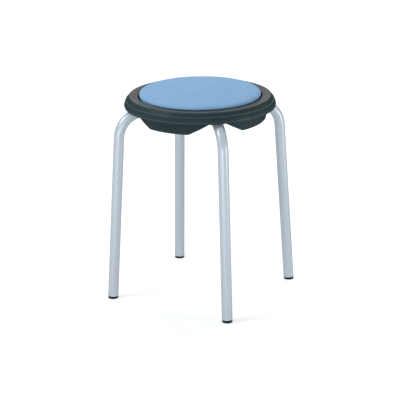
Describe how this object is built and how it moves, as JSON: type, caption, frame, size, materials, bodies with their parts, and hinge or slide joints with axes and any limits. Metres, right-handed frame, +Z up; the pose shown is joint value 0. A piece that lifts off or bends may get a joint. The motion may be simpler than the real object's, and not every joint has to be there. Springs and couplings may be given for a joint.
{
  "type": "office stool",
  "caption": "Round padded stacking stool: a vinyl seat in a black moulded surround with a lobed base, on a frame of bent steel tube with splayed legs and plugged feet.",
  "frame": {"origin": "on the floor, under the middle of the seat", "axes": "+Z up; -Y is the front, between two legs, and the legs stand on the diagonals"},
  "size_m": [0.32, 0.32, 0.4495],
  "materials": {
    "blue_vinyl": "soft grained vinyl",
    "urethane_foam": "open-cell foam",
    "plywood": "unfinished plywood",
    "black_polypropylene": "moulded, fine spark-eroded grain",
    "black_polyethylene": "moulded, matt",
    "silver_paint": "silver-grey powder coat, semi-gloss",
    "zinc_steel": "zinc plated"
  },
  "bodies": {
    "root": {"seat_cover": "blue_vinyl", "seat_foam": "urethane_foam", "seat_board": "plywood", "cover_staples": "zinc_steel", "board_nuts": "zinc_steel", "seat_ring": "black_polypropylene", "ring_screws": "zinc_steel", "seat_base": "black_polypropylene", "mounting_plate": "silver_paint", "seat_bolts": "zinc_steel", "spring_washers": "zinc_steel", "flat_washers": "zinc_steel", "frame_loop": "silver_paint", "front_right_leg": "silver_paint", "back_left_leg": "silver_paint", "cross_welds": "silver_paint", "plate_welds": "silver_paint", "foot_front_left": "black_polyethylene", "foot_front_right": "black_polyethylene", "foot_back_right": "black_polyethylene", "foot_back_left": "black_polyethylene"}
  },
  "joints": []
}
